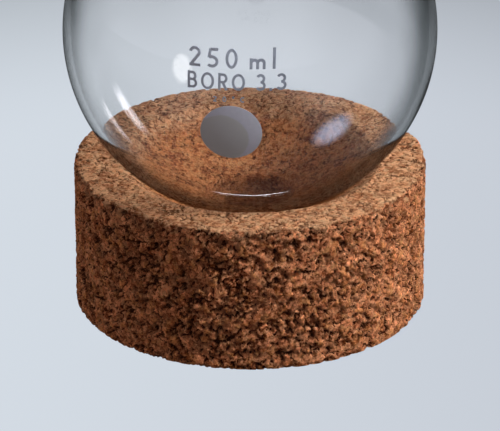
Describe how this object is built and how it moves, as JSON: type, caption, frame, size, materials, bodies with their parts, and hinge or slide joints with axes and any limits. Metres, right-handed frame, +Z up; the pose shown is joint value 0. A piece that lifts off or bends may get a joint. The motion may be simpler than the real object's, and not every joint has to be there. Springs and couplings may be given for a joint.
{
  "type": "round bottom flask on a cork ring",
  "caption": "Round bottom glass flask with a spherical bulb, straight neck and beaded mouth, resting in the conical seat of a pressed cork ring stand.",
  "frame": {"origin": "centre of the cork ring's underside, on the surface that the set stands on", "axes": "+Z up along the axis of the flask and the ring; the print on the bulb faces -Y; +X is to the reader's right"},
  "size_m": [0.085, 0.0851, 0.1679],
  "materials": {
    "clear_glass": "gloss",
    "pressed_cork": "matte",
    "white_enamel": "satin",
    "marking_enamel": "matte"
  },
  "bodies": {
    "ring": {"cork_ring": "pressed_cork"},
    "flask": {"flask_glass": "clear_glass", "capacity_print": "white_enamel", "glass_type_print": "white_enamel", "temperature_print": "white_enamel", "marking_spot": "marking_enamel"}
  },
  "joints": [
    {"name": "flask_lift", "type": "slide", "parent": "ring", "child": "flask", "axis": [0, 0, 1], "range_m": [0, 0.08]}
  ]
}
